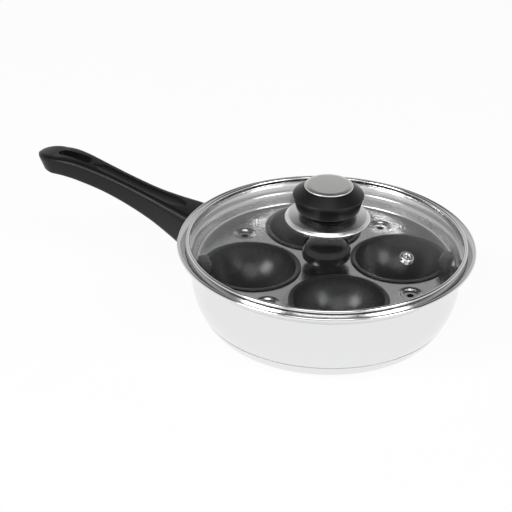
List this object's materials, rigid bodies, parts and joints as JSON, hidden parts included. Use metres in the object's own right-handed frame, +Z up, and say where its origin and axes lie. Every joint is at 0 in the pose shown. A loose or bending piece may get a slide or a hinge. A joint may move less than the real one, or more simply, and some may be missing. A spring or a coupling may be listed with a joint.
{
  "type": "egg poacher pan",
  "caption": "Stainless steel egg poacher pan with a long black handle, a glass lid with a black knob, and a steel insert tray that carries round non-stick egg cups",
  "frame": {"origin": "middle of the underside of the base", "axes": "+Z up, the handle points along -X"},
  "size_m": [0.3434, 0.21, 0.1043],
  "materials": {
    "polished_steel": "polished",
    "tray_steel": "satin",
    "brushed_steel": "brushed",
    "aluminium": "satin",
    "brass": "satin",
    "black_phenolic": "satin",
    "black_gloss": "gloss",
    "non_stick": "satin",
    "silicone": "matt",
    "lid_glass": "clear"
  },
  "bodies": {
    "pan": {"pan_shell": "polished_steel", "base_core": "aluminium", "base_cap": "polished_steel", "handle": "black_phenolic", "handle_bracket": "polished_steel", "handle_screw": "polished_steel"},
    "tray_set": {"tray": "tray_steel", "tray_knob": "black_gloss", "tray_knob_insert": "brass", "tray_knob_screw": "polished_steel", "tray_knob_washer": "polished_steel"},
    "egg_cup_1": {"cup_1": "non_stick", "cup_1_grip": "black_gloss", "cup_1_rivet": "polished_steel"},
    "egg_cup_2": {"cup_2": "non_stick", "cup_2_grip": "black_gloss", "cup_2_rivet": "polished_steel"},
    "egg_cup_3": {"cup_3": "non_stick", "cup_3_grip": "black_gloss", "cup_3_rivet": "polished_steel"},
    "egg_cup_4": {"cup_4": "non_stick", "cup_4_grip": "black_gloss", "cup_4_rivet": "polished_steel"},
    "lid": {"lid_rim": "polished_steel", "lid_glass": "lid_glass", "vent_eyelet": "polished_steel", "knob_flange": "polished_steel", "knob_gasket": "silicone", "knob_washer": "polished_steel", "knob_screw": "polished_steel", "knob_body": "black_phenolic", "knob_cap": "brushed_steel", "knob_insert": "brass"}
  },
  "joints": [
    {"name": "tray_lift", "type": "slide", "parent": "pan", "child": "tray_set", "axis": [0, 0, 1], "range_m": [0, 0.07]},
    {"name": "lid_lift", "type": "slide", "parent": "tray_set", "child": "lid", "axis": [0, 0, 1], "range_m": [0, 0.06]},
    {"name": "cup_1_lift", "type": "slide", "parent": "tray_set", "child": "egg_cup_1", "axis": [0, 0, 1], "range_m": [0, 0.0045]},
    {"name": "cup_2_lift", "type": "slide", "parent": "tray_set", "child": "egg_cup_2", "axis": [0, 0, 1], "range_m": [0, 0.0045]},
    {"name": "cup_3_lift", "type": "slide", "parent": "tray_set", "child": "egg_cup_3", "axis": [0, 0, 1], "range_m": [0, 0.0045]},
    {"name": "cup_4_lift", "type": "slide", "parent": "tray_set", "child": "egg_cup_4", "axis": [0, 0, 1], "range_m": [0, 0.0045]}
  ]
}
